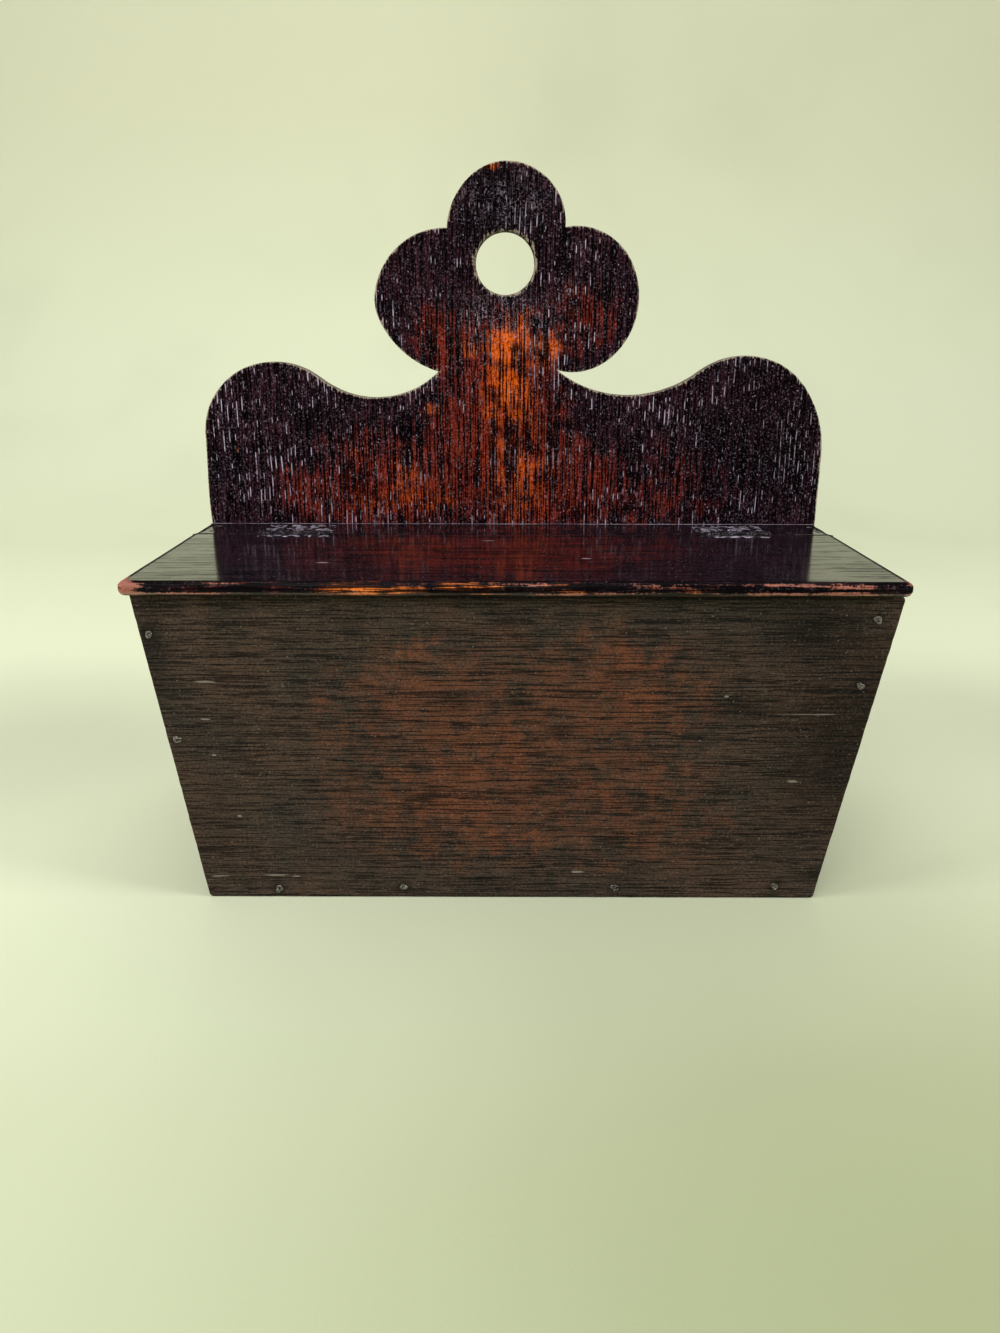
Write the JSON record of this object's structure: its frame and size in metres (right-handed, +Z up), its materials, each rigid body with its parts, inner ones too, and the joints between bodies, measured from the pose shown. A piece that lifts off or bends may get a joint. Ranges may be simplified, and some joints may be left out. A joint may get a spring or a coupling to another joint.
{
  "type": "candle box",
  "caption": "Hanging wooden candle box: canted front and sides, rounded-nose lid on iron butt hinges, tall backboard with hollow shoulders, a three-lobed crown and a hanging hole.",
  "frame": {"origin": "under the middle of the overall box, on the surface that the box stands on", "axes": "+X to the viewer's right, +Y from the front to the back, +Z up; the front faces -Y"},
  "size_m": [0.38, 0.1694, 0.3787],
  "materials": {
    "backboard_oak": "old polished oak, upright grain",
    "front_oak": "old oak, worn satin wax, level grain",
    "side_oak": "old oak, worn satin wax, level grain",
    "bottom_oak": "dry unpolished oak",
    "lid_oak": "old oak, high wax polish",
    "hinge_iron": "pitted wrought iron",
    "pin_iron": "dull drawn iron",
    "nail_iron": "forged iron, waxed and rusted",
    "tack_iron": "pitted wrought iron"
  },
  "bodies": {
    "box": {"backboard": "backboard_oak", "front_board": "front_oak", "left_side_board": "side_oak", "right_side_board": "side_oak", "bottom_board": "bottom_oak", "rear_rail": "lid_oak", "left_hinge_rail_leaf": "hinge_iron", "left_hinge_pin": "pin_iron", "left_rail_leaf_nails": "tack_iron", "right_hinge_rail_leaf": "hinge_iron", "right_hinge_pin": "pin_iron", "right_rail_leaf_nails": "tack_iron", "front_left_nails": "nail_iron", "front_right_nails": "nail_iron", "front_foot_nails": "nail_iron", "back_left_nails": "nail_iron", "back_right_nails": "nail_iron", "back_foot_nails": "nail_iron", "back_rail_nails": "nail_iron", "left_foot_nails": "nail_iron", "right_foot_nails": "nail_iron", "rail_left_nails": "nail_iron", "rail_right_nails": "nail_iron"},
    "lid": {"lid_board": "lid_oak", "left_hinge_lid_leaf": "hinge_iron", "left_lid_leaf_nails": "tack_iron", "right_hinge_lid_leaf": "hinge_iron", "right_lid_leaf_nails": "tack_iron"}
  },
  "joints": [
    {"name": "lid_hinge", "type": "hinge", "parent": "box", "child": "lid", "pos_m": [0, 0.03865, 0.1737], "axis": [-1, 0, 0], "range_deg": [0, 107]}
  ]
}
